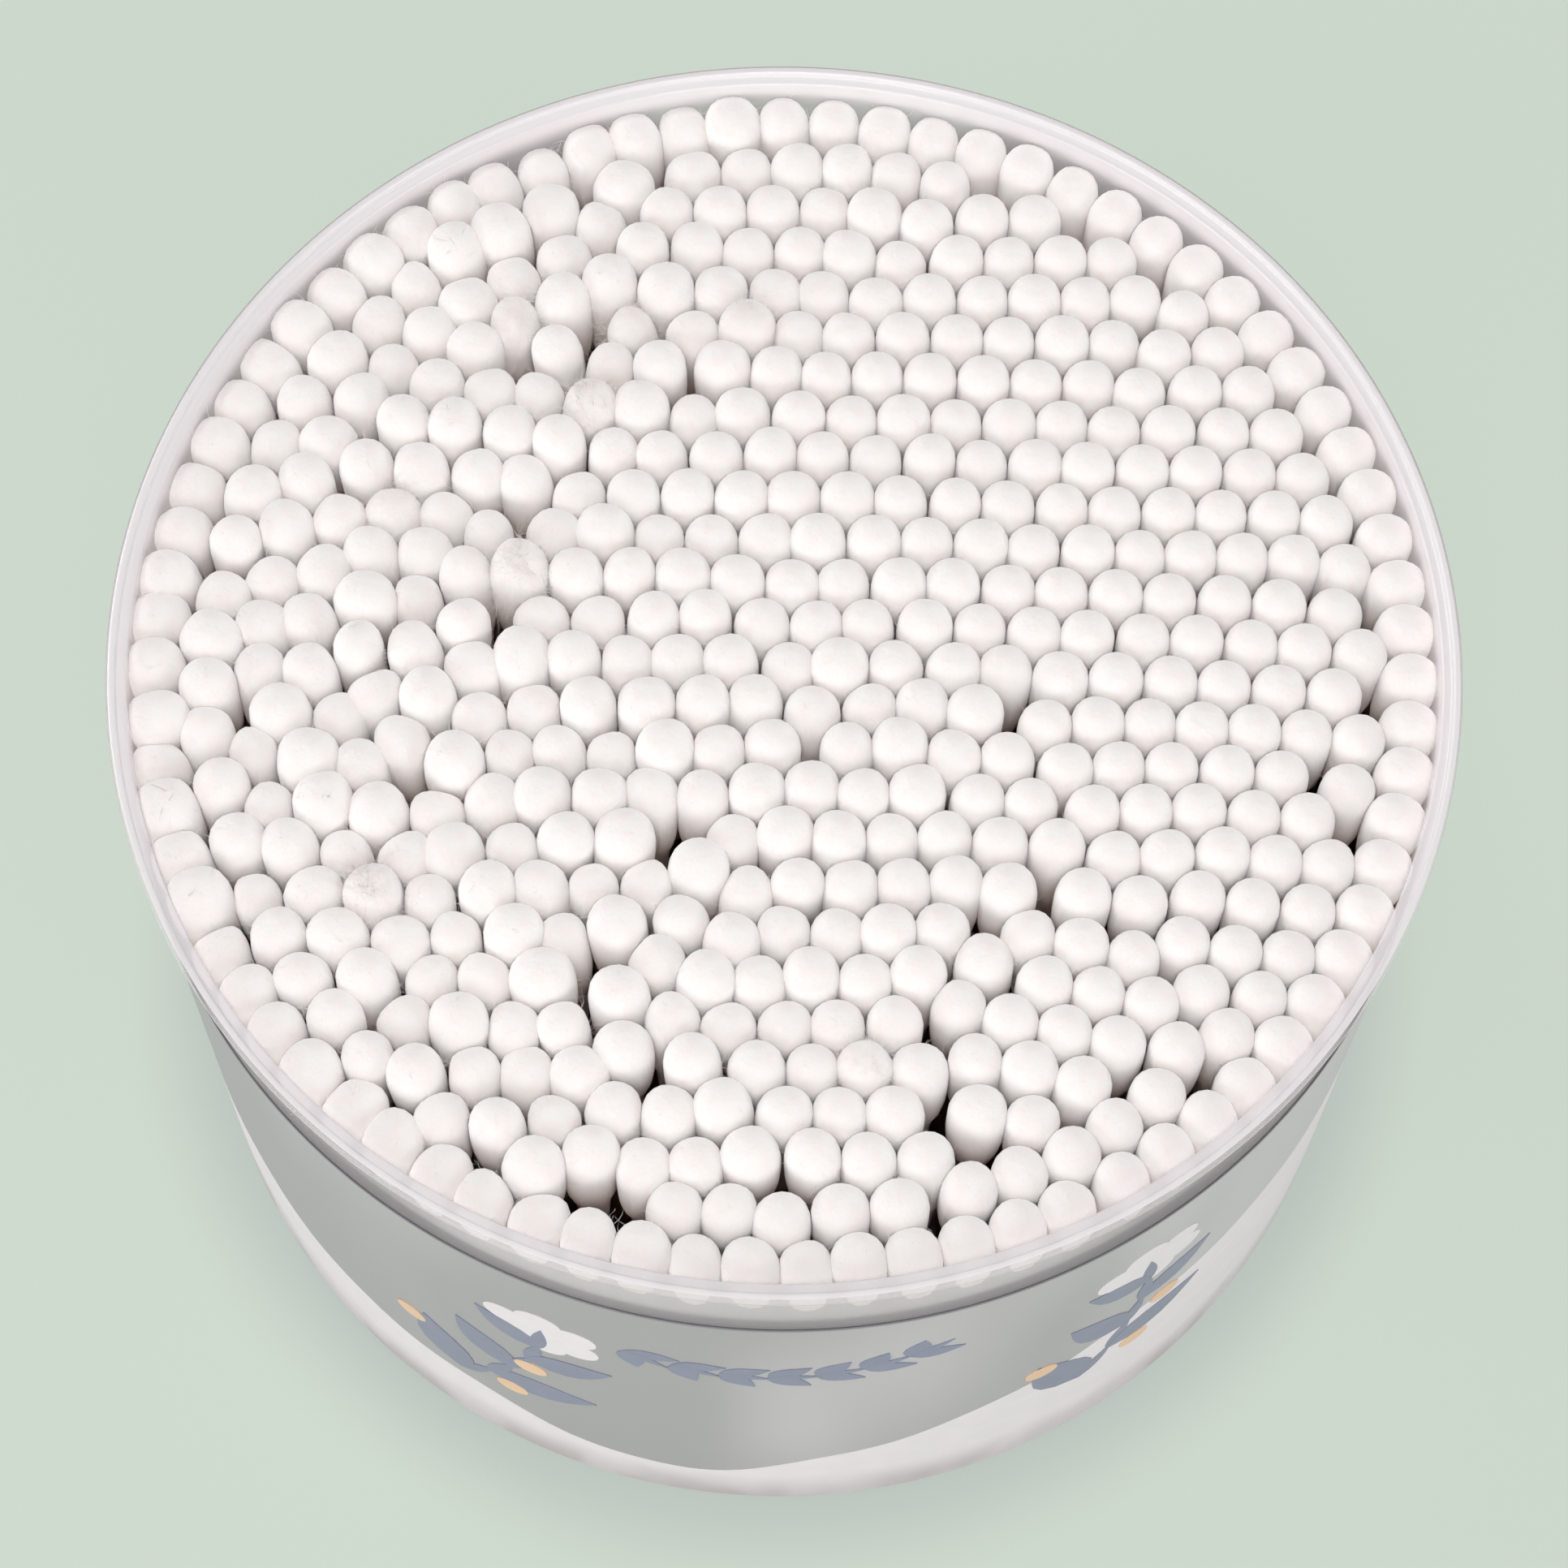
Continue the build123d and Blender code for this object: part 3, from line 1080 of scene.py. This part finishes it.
@dataclass
class SwabPack:
    """All the swabs, each in its solid's place, with heads that their neighbours press."""

    tub: TubShell
    wall_spread: float = 1.1
    # How deep the cotton's face lies in the wall, at places along the swab.
    cling_places: tuple[float, ...] = (0.83, 0.89, 0.955, 0.975, 1.0)
    cling_depths: tuple[float, ...] = (-0.9, -0.12, 0.62, 0.45, -0.1)
    length: float = 75.0
    stick_radius: float = 1.15
    neat_radius: float = 2.74
    loose_radius: float = 3.05
    neat_spread: float = 0.04
    loose_spread: float = 0.16
    size_range: tuple[float, float] = (-2.0, 1.0)
    overlap_height: float = 2.0
    even_share: float = 0.53
    overlap_share: float = 0.12
    press: float = 26.0
    least_facing: float = 0.05
    neighbours: int = 8
    segments: int = 10
    cage_growth: float = 1.05
    neat_lump: float = 0.03
    loose_lump: float = 0.09
    loose_drift: float = 0.45
    drift_from: float = 0.86
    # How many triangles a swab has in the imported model.
    ring_facets: int = 36
    row_facets: int = 22
    frayed_lump: float = 0.1
    seed: int = 5
    # Where the frayed heads stand, as shares of the rim's radius.
    frayed: tuple[tuple[float, float], ...] = (
        (-0.45, 0.60),
        (-0.33, 0.42),
        (-0.26, 0.55),
        (-0.62, -0.40),
        (-0.56, 0.27),
        (-0.40, 0.10),
        (-0.05, 0.60),
        (0.12, -0.62),
    )
    # How far each ring lies from the foot's tip as a share of the length, and its radius as a
    # share of the head's, or 0 where it is the stick's.
    rings: tuple[tuple[float, float], ...] = (
        (0.022, 0.95),
        (0.187, 0.0),
        (0.813, 0.0),
        (0.832, 0.80),
        (0.890, 0.99),
        (0.955, 1.0),
        (0.977, 0.97),
        (0.9905, 0.80),
        (0.9980, 0.42),
    )
    stick_ring: int = 1
    rows: list[SwabRow] = field(default_factory=list)
    head_sizes: np.ndarray = field(default_factory=lambda: np.empty(0))

    def read(self, nodes: dict[str, bpy.types.Object]) -> None:
        """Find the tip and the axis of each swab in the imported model.

        A tip is the highest corner of its solid, and the middle of the solid's skin, weighed by
        area, lies on the axis, because the solid is regular round it.

        Args:
            nodes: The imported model's nodes.
        """
        for name in sorted(nodes):
            if not name.startswith("swabs_"):
                continue
            facets = self.ring_facets if name == "swabs_wall_ring" else self.row_facets
            mesh = nodes[name].data
            spots = np.empty(len(mesh.vertices) * 3, dtype=np.float32)
            mesh.vertices.foreach_get("co", spots)
            corners = np.empty(len(mesh.loops), dtype=np.int32)
            mesh.loops.foreach_get("vertex_index", corners)
            facet = spots.reshape(-1, 3)[corners].reshape(-1, facets, 3, 3) / MILLIMETRE
            sides = facet[:, :, 1:] - facet[:, :, :1]
            area = np.linalg.norm(np.cross(sides[:, :, 0], sides[:, :, 1]), axis=-1)
            middle = (facet.mean(axis=2) * area[..., None]).sum(axis=1) / area.sum(axis=1)[:, None]
            every = facet.reshape(len(facet), -1, 3)
            tips = every[np.arange(len(every)), every[..., 2].argmax(axis=1)]
            axes = tips - middle
            axes /= np.linalg.norm(axes, axis=1)[:, None]
            self.rows.append(SwabRow(name, tips.astype(float), axes.astype(float)))

    def looseness(self, tips: np.ndarray) -> np.ndarray:
        """How loosely the swabs stand, from 0 at the right wall to 1 at the left wall."""
        return np.clip(0.5 - tips[:, 0] / self.tub.rim_radius, 0, 1)

    def frayed_heads(self, tips: np.ndarray) -> np.ndarray:
        """Mark the head nearest to each frayed place.

        Args:
            tips: The swabs' tips.

        Returns:
            1 for a frayed head and 0 for any other.
        """
        places = np.array(self.frayed) * self.tub.rim_radius
        apart = np.linalg.norm(tips[None, :, :2] - places[:, None], axis=-1)
        marks = np.zeros(len(tips))
        marks[apart.argmin(axis=1)] = 1
        return marks

    def head_radii(
        self, tips: np.ndarray, turns: np.ndarray, chance: np.random.Generator
    ) -> np.ndarray:
        """The radius of each head at each turn.

        A free head is a near circle of its own size. Each neighbour holds it back to a flat side
        between them, which lies at its share of their distance / cos(turn from the neighbour). The
        share is a little over half, as cotton gives way, and more for the higher of the two. The
        radius is the smooth least of all these, the sum of each**-press, to the power -1 / press.

        Args:
            tips: Tips of all the swabs.
            turns: The turns round a head, in radians.
            chance: The source of each head's own size.

        Returns:
            Radii, a row for each head.
        """
        apart = tips[None, :, :2] - tips[:, None, :2]
        distance = np.hypot(apart[..., 0], apart[..., 1])
        distance += np.eye(len(tips)) * self.tub.rim_radius
        nearest = np.argsort(distance, axis=1)[:, : self.neighbours]
        rows = np.arange(len(tips))[:, None]
        away = distance[rows, nearest]
        bearing = np.arctan2(apart[rows, nearest, 1], apart[rows, nearest, 0])
        facing = np.cos(turns[None, None] - bearing[..., None])
        higher = np.clip((tips[:, None, 2] - tips[nearest, 2]) / self.overlap_height, -1, 1)
        share = self.even_share + self.overlap_share * higher
        flat = (away * share)[..., None] / np.maximum(facing, self.least_facing)
        loose = self.looseness(tips)
        spread = self.neat_spread + (self.loose_spread - self.neat_spread) * loose
        free_size = self.neat_radius + (self.loose_radius - self.neat_radius) * loose
        own = 1 + spread * np.clip(chance.normal(size=len(tips)), *self.size_range) / 2
        oval = spread * chance.uniform(size=len(tips)) / 2
        lie = chance.uniform(0, math.pi, size=len(tips))
        free = 1 + oval[:, None] * np.cos(2 * (turns[None] - lie[:, None]))
        free *= (free_size * own)[:, None]
        total = (flat**-self.press).sum(axis=1) + free**-self.press
        return total ** (-1 / self.press)

    def pressed(self, rings: np.ndarray, places: np.ndarray) -> np.ndarray:
        """How much the wall moves each point of the heads towards the tub's axis or from it.

        Cotton near the wall spreads on it. A point that lies deeper than the spread from the wall
        stays. One at the wall or past it goes to the face, and those between go part of the way.
        The face is sunk a little in the wall on the upper part of a head, where the cotton clings
        to it, and stands clear of it further down.

        Args:
            rings: The rings' points.
            places: How far each ring lies from the foot's tip as a share of the length.

        Returns:
            What each point's distance from the axis is multiplied by.
        """
        reach = np.hypot(rings[..., 0], rings[..., 1])
        inside = self.tub.wall_radius(rings[..., 2]) - self.tub.wall
        cling = np.interp(places, self.cling_places, self.cling_depths)[None, :, None]
        near = np.clip((reach - inside + self.wall_spread) / self.wall_spread, 0, 1)
        moved = reach + near * (inside + cling - reach)
        return moved / reach

    def build(self, cotton: CottonFinish, stick: StickFinish) -> None:
        """Make the swabs, one piece for each node.

        A swab is a stack of rings on its axis. A ring's radius is the head's at that turn, times
        the ring's share, plus a small lump. The rings near the tip drift sideways with the square
        of their place on the head.

        Args:
            cotton: The heads' finish.
            stick: The sticks' finish.
        """
        chance = np.random.default_rng(self.seed)
        tips = np.vstack([row.tips for row in self.rows])
        axes = np.vstack([row.axes for row in self.rows])
        turns = np.arange(self.segments) * 2 * math.pi / self.segments
        heads = self.head_radii(tips, turns, chance)
        self.head_sizes = heads.mean(axis=1)
        loose = self.looseness(tips)
        shares = np.array([ring[1] for ring in self.rings])
        places = np.array([ring[0] for ring in self.rings])
        lump_size = self.neat_lump + (self.loose_lump - self.neat_lump) * loose
        lump_size += self.frayed_lump * self.frayed_heads(tips)
        lumps = chance.normal(size=(len(tips), len(self.rings), self.segments))
        lumps *= lump_size[:, None, None]
        is_stick = shares == 0
        radii = heads[:, None, :] * shares[None, :, None] + lumps
        radii = np.where(is_stick[None, :, None], self.stick_radius, radii) * self.cage_growth
        side = np.array([1.0, 0, 0]) - axes * axes[:, :1]
        side /= np.linalg.norm(side, axis=1)[:, None]
        other = np.cross(axes, side)
        drift = chance.uniform(-1, 1, size=(len(tips), 2)) * (self.loose_drift * loose)[:, None]
        rise = np.clip((places - self.drift_from) / (1 - self.drift_from), 0, 1) ** 2
        across = radii * np.cos(turns) + drift[:, :1, None] * rise[None, :, None]
        along = radii * np.sin(turns) + drift[:, 1:, None] * rise[None, :, None]
        feet = tips - axes * self.length
        centre = feet[:, None] + axes[:, None] * (places * self.length)[None, :, None]
        rings = centre[:, :, None] + across[..., None] * side[:, None, None]
        rings += along[..., None] * other[:, None, None]
        rings[..., :2] *= self.pressed(rings, places)[..., None]
        top = tips + drift[:, :1] * side + drift[:, 1:] * other
        rings = rings.reshape(len(tips), -1, 3)
        forms = np.concatenate([rings, feet[:, None], top[:, None]], axis=1)
        self.dress(forms, cotton.material(), stick.material())

    def dress(
        self, forms: np.ndarray, cotton: bpy.types.Material, stick: bpy.types.Material
    ) -> None:
        """Make a piece for each node from the forms of all the swabs.

        Args:
            forms: The points of each swab.
            cotton: The heads' material.
            stick: The sticks' material.
        """
        faces = stack_faces(len(self.rings), self.segments)
        levels = np.array([ring[0] for ring in self.rings])
        # The depth under the tip lays the cotton's painted shade.
        depth = np.append(np.repeat(1 - levels, self.segments), [1, 0]) * self.length
        stick_faces = np.zeros(len(faces))
        stick_faces[self.stick_ring * self.segments : (self.stick_ring + 1) * self.segments] = 1
        start = 0
        for row in self.rows:
            count = len(row.tips)
            points = forms[start : start + count].reshape(-1, 3)
            start += count
            name = f"{row.node}_soft"
            all_faces = many(faces, count, forms.shape[1])
            sticks = np.tile(stick_faces, count)
            piece = make_piece(name, points, all_faces, [cotton, stick], sticks)
            set_depth(piece, np.tile(depth, count))
            smooth = piece.modifiers.new("smooth", "SUBSURF")
            smooth.levels = smooth.render_levels = 1
            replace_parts(piece, row.node)


@dataclass
class LooseFibres:
    """Cotton fibres that stand off the heads, thick on the frayed ones."""

    pack: SwabPack
    neat_count: int = 5
    loose_count: int = 20
    frayed_count: int = 420
    steps: int = 4
    sides: int = 3
    thickness: float = 0.045
    frayed_thickness: float = 0.026
    neat_length: float = 1.0
    loose_length: float = 1.9
    frayed_length: float = 3.8
    shortest_share: float = 0.35
    highest: float = 79.2
    least_depth: float = 0.02
    deepest: float = 4.5
    depth_power: float = 1.5
    root_share: float = 0.93
    least_girth: float = 0.05
    wildness: float = 0.75
    bow_size: float = 0.35
    curl_size: float = 0.12
    curl_turns: tuple[float, float] = (2.0, 7.0)
    narrowing: float = 0.6
    seed: int = 12

    def tube_faces(self) -> list[list[int]]:
        """Faces of one fibre, a three-sided tube closed at both ends.

        Returns:
            The faces.
        """
        last = (self.steps - 1) * self.sides
        sides = grid_quads(self.steps, self.sides, wrap=True).tolist()
        return sides + [[2, 1, 0], [last, last + 1, last + 2]]

    def build(self, finish: CottonFinish) -> None:
        """Grow the fibres.

        A fibre starts on its head at a random turn and depth under the tip. It runs out along a
        line between the head's outward direction and a random one, bows by the square of its way,
        and curls by a sine of it. It narrows towards its end.

        Args:
            finish: The cotton.
        """
        chance = np.random.default_rng(self.seed)
        tips = np.vstack([row.tips for row in self.pack.rows])
        axes = np.vstack([row.axes for row in self.pack.rows])
        loose = self.pack.looseness(tips)
        frayed = self.pack.frayed_heads(tips)
        counts = self.neat_count + (self.loose_count - self.neat_count) * loose
        counts = (counts + self.frayed_count * frayed).astype(int)
        owner = np.repeat(np.arange(len(tips)), counts)
        total = len(owner)
        longest = self.neat_length + (self.loose_length - self.neat_length) * loose
        longest = np.where(frayed > 0, self.frayed_length, longest)[owner]
        length = longest * chance.uniform(self.shortest_share, 1, total)
        turn = chance.uniform(0, 2 * math.pi, total)
        depth = chance.uniform(self.least_depth, 1, total) ** self.depth_power
        outward = np.column_stack([np.cos(turn), np.sin(turn), np.zeros(total)])
        size = self.pack.head_sizes[owner]
        low = depth * self.deepest
        upward = np.clip(1 - low / size, 0, 1)
        root = size * np.sqrt(np.clip(1 - upward**2, self.least_girth, 1)) * self.root_share
        start = tips[owner] - axes[owner] * low[:, None] + outward * root[:, None]
        wild = chance.normal(size=(total, 3))
        wild /= np.linalg.norm(wild, axis=1)[:, None]
        ahead = outward * (1 - upward)[:, None] + wild * self.wildness
        ahead[:, 2] += upward
        ahead /= np.linalg.norm(ahead, axis=1)[:, None]
        bow = chance.normal(size=(total, 3)) * self.bow_size
        bow -= ahead * (bow * ahead).sum(axis=1)[:, None]
        side = np.cross(ahead, bow)
        side /= np.linalg.norm(side, axis=1)[:, None]
        over = np.cross(ahead, side)
        way = np.linspace(0, 1, self.steps)
        curls = chance.uniform(*self.curl_turns, total)[:, None]
        curl = np.sin(way[None] * curls) * self.curl_size
        path = ahead[:, None] * way[None, :, None] + bow[:, None] * way[None, :, None] ** 2
        path += side[:, None] * curl[..., None]
        path = start[:, None] + length[:, None, None] * path
        spin = np.arange(self.sides) * 2 * math.pi / self.sides
        thick = np.where(frayed > 0, self.frayed_thickness, self.thickness)[owner]
        width = thick[:, None] / 2 * (1 - self.narrowing * way)
        ring = np.cos(spin)[:, None] * side[:, None, None]
        ring += np.sin(spin)[:, None] * over[:, None, None]
        points = path[:, :, None] + ring * width[..., None, None]
        points[..., 2] = np.minimum(points[..., 2], self.highest)
        points = points.reshape(-1, 3)
        faces = many(self.tube_faces(), total, self.steps * self.sides)
        piece = make_piece("loose_fibres", points, faces, [finish.material()])
        # Frayed fibres are given no depth, so they get none of the painted shade.
        set_depth(piece, np.repeat(low * (1 - frayed[owner]), self.steps * self.sides))


@dataclass(frozen=True)
class Lamp:
    """A round, soft lamp that points at the tub."""

    name: str
    place: tuple[float, float, float]
    size: float
    watts: float

    def hang(self, aim: tuple[float, float, float]) -> None:
        """Hang the lamp.

        Args:
            aim: The point that it is turned to.
        """
        light = bpy.data.lights.new(self.name, "AREA")
        light.shape = "DISK"
        light.size = self.size * MILLIMETRE
        light.energy = self.watts
        holder = bpy.data.objects.new(self.name, light)
        holder.location = Vector(self.place) * MILLIMETRE
        ahead = Vector(aim) - Vector(self.place)
        holder.rotation_euler = ahead.to_track_quat("-Z", "Y").to_euler()
        bpy.context.scene.collection.objects.link(holder)
        LOG.info("%s", self.name)


@dataclass
class Studio:
    """The floor, the lamps and the camera."""

    tub: TubShell
    floor_half: float = 1500.0
    world_strength: float = 0.3
    lamps: tuple[Lamp, ...] = (
        Lamp("key_lamp", (-450.0, 450.0, 950.0), 350.0, 2.4),
        Lamp("fill_lamp", (0.0, -250.0, 750.0), 300.0, 1.65),
        Lamp("front_panel", (-60.0, -800.0, 420.0), 500.0, 1.35),
        Lamp("left_panel", (-700.0, -450.0, 140.0), 500.0, 3.6),
        Lamp("right_panel", (700.0, -450.0, 140.0), 500.0, 2.8),
    )
    aim: tuple[float, float, float] = (0.0, 0.0, 60.0)
    # The camera's place is found from the photograph: its height over the rim as an angle, its
    # distance from the rim's middle, how far its aim drops from there, and its roll.
    camera_elevation: float = 65.322
    camera_distance: float = 448.8
    camera_aim_drop: float = 1.574
    camera_side: float = 0.22
    camera_roll: float = 1.317
    lens: float = 111.8
    sensor_width: float = 36.0

    def build(self, finish: FloorFinish) -> None:
        """Lay the floor, hang the lamps and set the camera.

        Args:
            finish: The floor's finish.
        """
        self.lay_floor(finish.material(self.tub.base_radius))
        self.light()
        self.set_camera()

    def lay_floor(self, paper: bpy.types.Material) -> None:
        """Lay a flat floor under the tub.

        Args:
            paper: The floor's material.
        """
        half = self.floor_half * MILLIMETRE
        mesh = bpy.data.meshes.new("floor")
        corners = [(-half, -half, 0), (half, -half, 0), (half, half, 0), (-half, half, 0)]
        mesh.from_pydata(corners, [], [(0, 1, 2, 3)])
        mesh.materials.append(paper)
        floor = bpy.data.objects.new("floor", mesh)
        bpy.context.scene.collection.objects.link(floor)
        LOG.info("floor")

    def light(self) -> None:
        """Light the scene with an even world and the lamps."""
        world = bpy.data.worlds.new("soft_world")
        world.use_nodes = True
        inputs = world.node_tree.nodes["Background"].inputs
        inputs["Color"].default_value = (1, 1, 1, 1)
        inputs["Strength"].default_value = self.world_strength
        bpy.context.scene.world = world
        for lamp in self.lamps:
            lamp.hang(self.aim)

    def set_camera(self) -> None:
        """Place the camera as the photograph was taken.

        It stands in front of the rim's middle, raised by the elevation, and looks down by the
        elevation and the drop. The picture is then turned by the roll.
        """
        scene = bpy.context.scene
        lens = bpy.data.cameras.new("camera")
        lens.lens = self.lens
        lens.sensor_width = self.sensor_width
        camera = bpy.data.objects.new("camera", lens)
        scene.collection.objects.link(camera)
        rise = math.radians(self.camera_elevation)
        look = math.radians(self.camera_elevation + self.camera_aim_drop)
        roll = math.radians(self.camera_roll)
        ahead = Vector((0, math.cos(look), -math.sin(look)))
        up = Vector((0, math.sin(look), math.cos(look)))
        right = Vector((1, 0, 0))
        rolled_right = math.cos(roll) * right + math.sin(roll) * up
        rolled_up = math.cos(roll) * up - math.sin(roll) * right
        back = self.camera_distance * math.cos(rise)
        over = self.camera_distance * math.sin(rise) + self.tub.height
        place = Vector((self.camera_side, -back, over))
        turned = Matrix((rolled_right, rolled_up, -ahead)).transposed()
        camera.matrix_world = Matrix.Translation(place * MILLIMETRE) @ turned.to_4x4()
        scene.camera = camera
        scene.view_settings.view_transform = "Standard"


def main() -> None:
    """Build the tub, its label and its swabs, and set up the studio."""
    logging.basicConfig(level=logging.INFO, format="%(name)s %(message)s")
    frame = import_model()
    tub = TubShell()
    tub.build(PlasticFinish())
    label = LabelFilm(tub)
    white = InkFinish("white_ink", Colour(236, 227, 232), Colour(224, 216, 221))
    slate = InkFinish("slate_ink", Colour(118, 122, 146), Colour(132, 135, 157))
    peach = InkFinish("peach_ink", Colour(232, 195, 158), Colour(224, 184, 148))
    label.build(FilmFinish(), HillFinish(white))
    PrintedMarks(label).build(slate, white, peach)
    pack = SwabPack(tub)
    pack.read(frame["nodes"])
    cotton = CottonFinish()
    pack.build(cotton, StickFinish())
    LooseFibres(pack).build(cotton)
    Studio(tub).build(FloorFinish())


if __name__ == "__main__":
    main()
